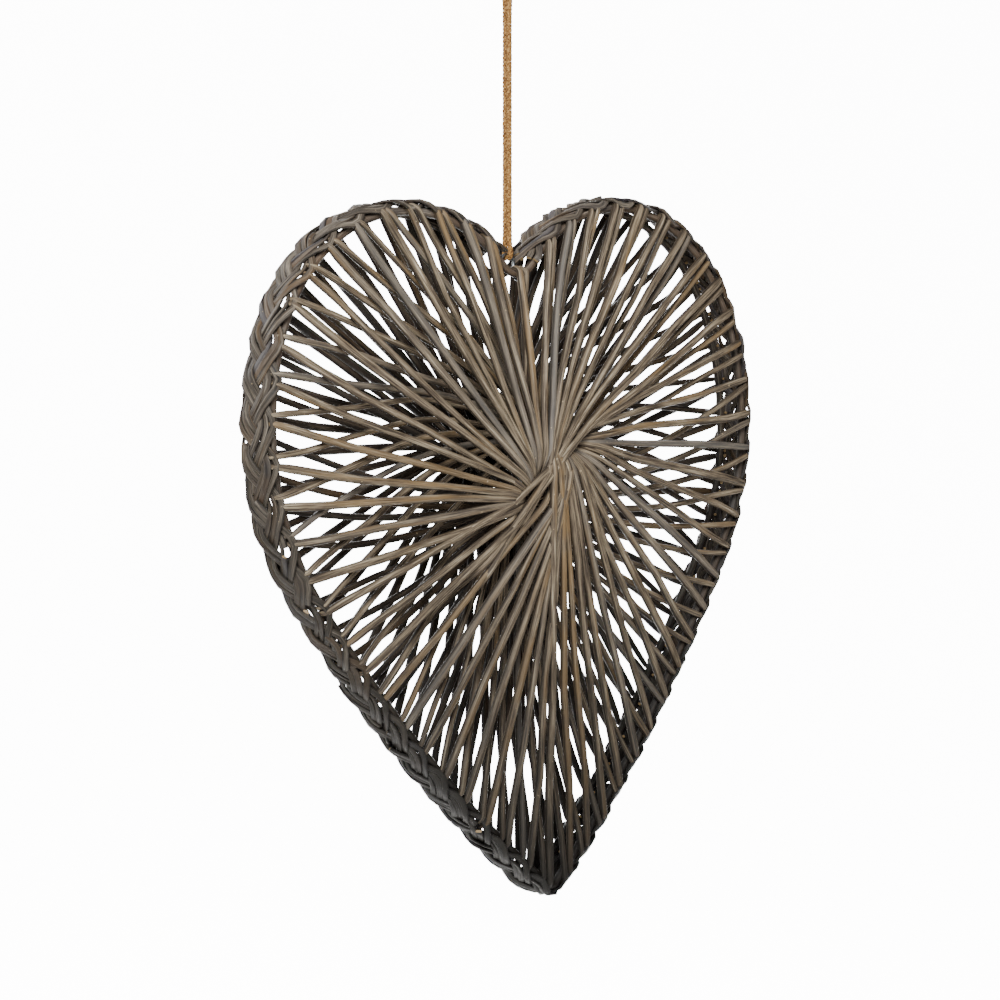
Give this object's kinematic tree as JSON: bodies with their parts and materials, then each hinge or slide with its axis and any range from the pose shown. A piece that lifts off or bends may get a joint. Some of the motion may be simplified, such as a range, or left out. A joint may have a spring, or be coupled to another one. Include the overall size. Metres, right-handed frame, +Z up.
{
  "type": "hanging wicker heart",
  "caption": "Heart-shaped hanging ornament of willow rods whirled on a double hoop, with a plaited edge, an eye ring and a jute cord loop.",
  "frame": {"origin": "inner top of the cord loop, where it hangs on its hook", "axes": "+Z up, +X to the right of someone who looks at the front, +Y from the front to the back"},
  "size_m": [0.5149, 0.077, 0.7045],
  "materials": {
    "willow": "grey-washed willow, faint satin",
    "dark_willow": "weathered dark willow",
    "steel_wire": "dull galvanised wire",
    "jute": "twisted jute string"
  },
  "bodies": {
    "root": {"front_hoop": "dark_willow", "front_web": "willow", "back_hoop": "dark_willow", "back_web": "willow", "plait_strand_1": "dark_willow", "plait_strand_2": "dark_willow", "plait_strand_3": "dark_willow", "ring_crossbar": "steel_wire", "hanging_ring": "steel_wire", "hanging_cord": "jute"}
  },
  "joints": []
}
